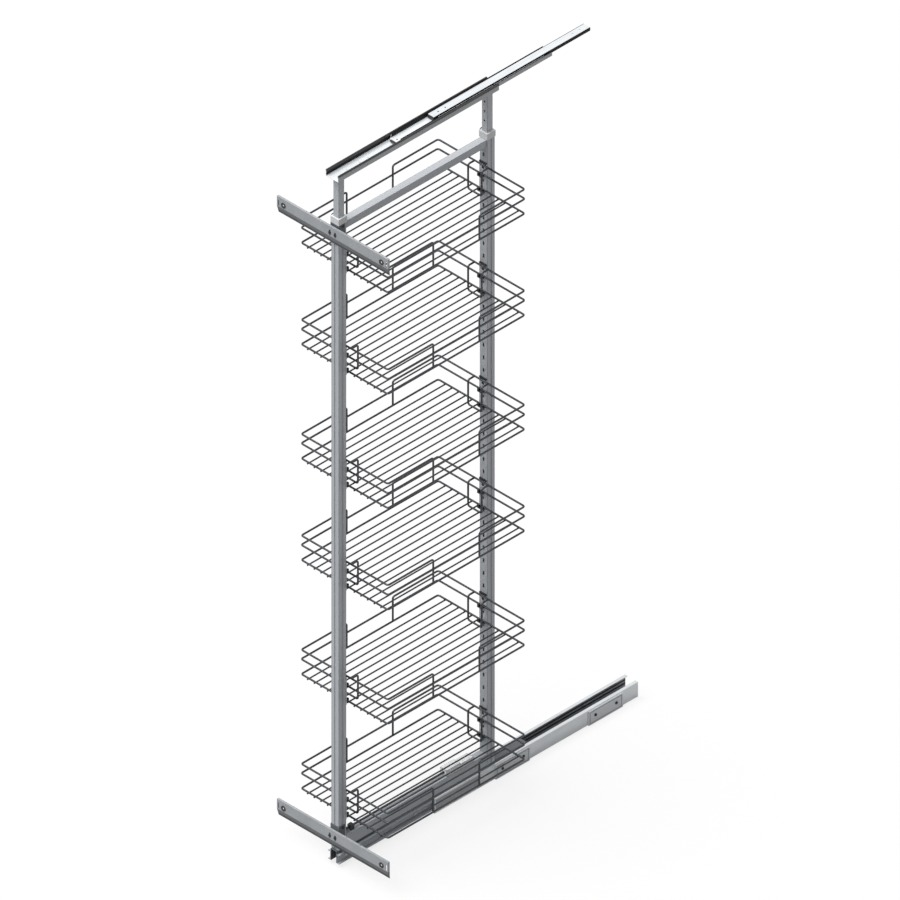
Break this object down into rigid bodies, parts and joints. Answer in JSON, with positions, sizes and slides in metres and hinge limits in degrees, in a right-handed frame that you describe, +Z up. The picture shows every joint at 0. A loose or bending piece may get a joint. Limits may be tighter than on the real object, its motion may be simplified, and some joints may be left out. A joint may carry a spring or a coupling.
{
  "type": "pull out pantry frame",
  "caption": "Tall pull-out pantry frame: telescopic uprights on a ball-bearing floor runner, a head runner, lift-off wire baskets and two door bars, drawn pulled out.",
  "frame": {"origin": "Middle of the four floor screws of the front floor bracket, on the cabinet floor", "axes": "+Z up, +Y from the door into the cabinet, +X to the right seen from the door"},
  "size_m": [0.374, 1.0092, 2.0215],
  "materials": {
    "zinc": "bright zinc-plated rail",
    "grey_steel": "satin silver-grey powder coat",
    "dark_steel": "dark grey coated steel",
    "wire": "chromed wire",
    "black_plastic": "black moulded plastic",
    "pale_plastic": "pale grey moulded plastic",
    "dark_plastic": "dark grey moulded plastic",
    "screw_steel": "dark passivated screws",
    "ball_steel": "polished bearing balls"
  },
  "bodies": {
    "floor_runner": {"left_cabinet_rail": "zinc", "right_cabinet_rail": "zinc", "left_front_guide": "dark_steel", "right_front_guide": "dark_steel", "front_floor_bracket": "grey_steel", "rear_floor_bracket": "grey_steel", "bracket_screws": "screw_steel"},
    "runner_cages": {"left_ball_cage": "pale_plastic", "right_ball_cage": "pale_plastic", "runner_balls": "ball_steel"},
    "frame": {"left_runner_rail": "grey_steel", "right_runner_rail": "grey_steel", "runner_channel": "dark_steel", "runner_rivets": "zinc", "bottom_beam": "grey_steel", "front_post": "grey_steel", "rear_post": "grey_steel", "top_crosspiece": "grey_steel", "front_collar": "pale_plastic", "rear_collar": "pale_plastic", "clamp_screws": "black_plastic", "upper_door_bar": "zinc", "lower_door_bar": "zinc", "upper_bar_pad": "dark_plastic", "lower_bar_pad": "dark_plastic", "upper_bar_strap": "dark_steel", "lower_bar_strap": "dark_steel", "bar_screws": "screw_steel", "door_bushes": "dark_plastic", "catch_housing": "pale_plastic", "rod_clip": "black_plastic", "front_basket_holders": "pale_plastic", "rear_basket_holders": "pale_plastic", "front_basket_hooks": "dark_steel", "rear_basket_hooks": "dark_steel", "holder_screws": "screw_steel"},
    "catch": {"catch_rod": "black_plastic"},
    "head": {"front_inner_tube": "grey_steel", "rear_inner_tube": "grey_steel", "tube_shoes": "black_plastic", "head_carriage_rail": "zinc", "head_liners": "black_plastic"},
    "head_lower_cage": {"head_lower_cage": "pale_plastic", "head_lower_balls": "ball_steel"},
    "head_middle": {"head_middle_rail": "zinc", "middle_bumper": "black_plastic"},
    "head_upper_cage": {"head_upper_cage": "pale_plastic", "head_upper_balls": "ball_steel"},
    "ceiling": {"ceiling_rail": "zinc", "ceiling_bumper": "black_plastic"},
    "basket_1": {"basket_1": "wire"},
    "basket_2": {"basket_2": "wire"},
    "basket_3": {"basket_3": "wire"},
    "basket_4": {"basket_4": "wire"},
    "basket_5": {"basket_5": "wire"},
    "basket_6": {"basket_6": "wire"}
  },
  "joints": [
    {"name": "pull_out", "type": "slide", "parent": "floor_runner", "child": "frame", "axis": [0, 1, 0], "range_m": [0, 0.325]},
    {"name": "runner_cage_roll", "type": "slide", "parent": "floor_runner", "child": "runner_cages", "axis": [0, 1, 0], "range_m": [0, 0.1625]},
    {"name": "height_adjust", "type": "slide", "parent": "frame", "child": "head", "axis": [0, 0, 1], "range_m": [-0.09, 0.1]},
    {"name": "head_lower_roll", "type": "slide", "parent": "head", "child": "head_lower_cage", "axis": [0, 1, 0], "range_m": [-0.0975, 0]},
    {"name": "head_middle_slide", "type": "slide", "parent": "head", "child": "head_middle", "axis": [0, 1, 0], "range_m": [-0.195, 0]},
    {"name": "head_upper_roll", "type": "slide", "parent": "head", "child": "head_upper_cage", "axis": [0, 1, 0], "range_m": [-0.26, 0]},
    {"name": "ceiling_slide", "type": "slide", "parent": "head", "child": "ceiling", "axis": [0, 1, 0], "range_m": [-0.325, 0]},
    {"name": "catch_push", "type": "slide", "parent": "frame", "child": "catch", "axis": [0, 1, 0], "range_m": [0, 0.006], "stiffness_N_per_m": 300},
    {"name": "basket_1_lift", "type": "slide", "parent": "frame", "child": "basket_1", "axis": [0, 0, 1], "range_m": [0, 0.03]},
    {"name": "basket_2_lift", "type": "slide", "parent": "frame", "child": "basket_2", "axis": [0, 0, 1], "range_m": [0, 0.03]},
    {"name": "basket_3_lift", "type": "slide", "parent": "frame", "child": "basket_3", "axis": [0, 0, 1], "range_m": [0, 0.03]},
    {"name": "basket_4_lift", "type": "slide", "parent": "frame", "child": "basket_4", "axis": [0, 0, 1], "range_m": [0, 0.03]},
    {"name": "basket_5_lift", "type": "slide", "parent": "frame", "child": "basket_5", "axis": [0, 0, 1], "range_m": [0, 0.03]},
    {"name": "basket_6_lift", "type": "slide", "parent": "frame", "child": "basket_6", "axis": [0, 0, 1], "range_m": [0, 0.03]}
  ],
  "couplings": [
    {"joint": "runner_cage_roll", "follows": "pull_out", "ratio": 0.5},
    {"joint": "head_lower_roll", "follows": "pull_out", "ratio": -0.3},
    {"joint": "head_middle_slide", "follows": "pull_out", "ratio": -0.6},
    {"joint": "head_upper_roll", "follows": "pull_out", "ratio": -0.8},
    {"joint": "ceiling_slide", "follows": "pull_out", "ratio": -1}
  ]
}
